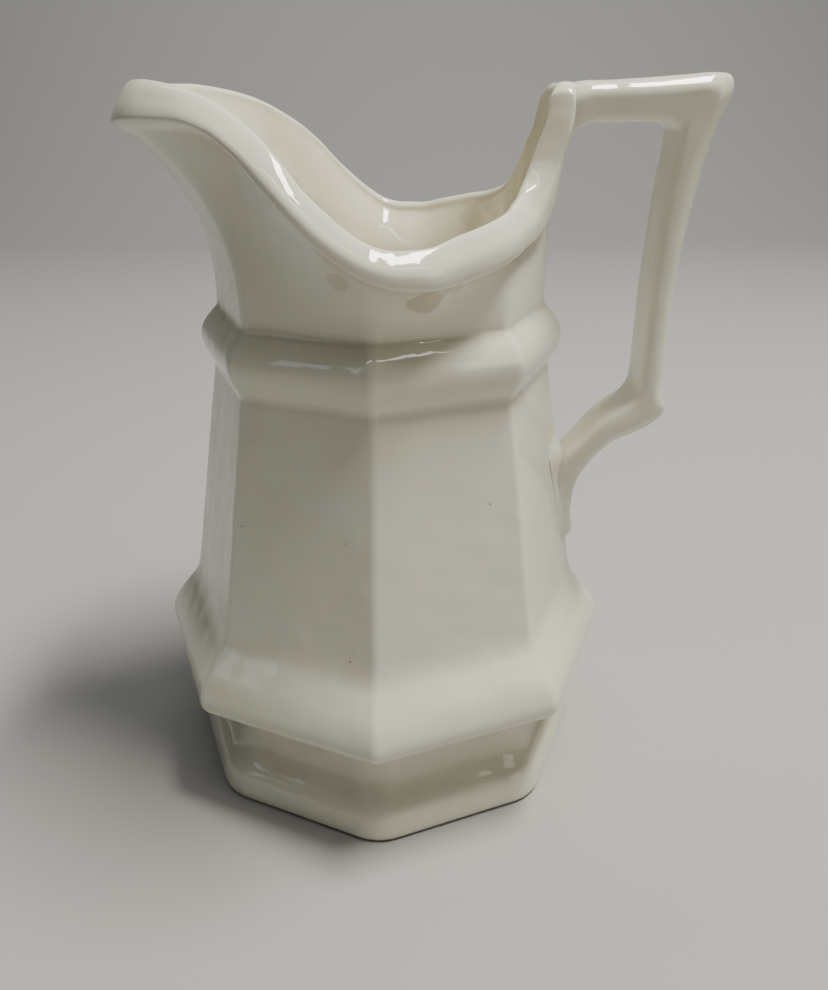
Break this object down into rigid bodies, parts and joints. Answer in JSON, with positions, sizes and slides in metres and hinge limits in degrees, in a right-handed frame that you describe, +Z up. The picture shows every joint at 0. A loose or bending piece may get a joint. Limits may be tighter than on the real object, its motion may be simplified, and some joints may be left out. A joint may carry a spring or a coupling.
{
  "type": "cream jug",
  "caption": "Heavy octagonal glazed ironstone cream jug with a flared skirt and foot, waist band, swept pouring lip and angular strap handle.",
  "frame": {"origin": "centre of the foot ring on its resting plane, on the axis of the octagonal body", "axes": "+Z up; the spout points to -X and the handle to +X; the jug is symmetric across the plane y = 0"},
  "size_m": [0.1123, 0.0998, 0.1396],
  "materials": {
    "glaze": "glossy cream glaze over white ironstone",
    "glaze_handle": "glossy cream glaze over white ironstone",
    "glaze_inside": "glossy cream glaze, slightly yellower where it pools",
    "glaze_base": "glossy cream glaze over white ironstone"
  },
  "bodies": {
    "root": {"left_wall": "glaze", "right_wall": "glaze", "base": "glaze_base", "base_seam_roll": "glaze_inside", "spout_seam_roll": "glaze_inside", "handle_seam_roll": "glaze_inside", "handle": "glaze_handle", "upper_handle_luting": "glaze_handle", "lower_handle_luting": "glaze_handle"}
  },
  "joints": []
}
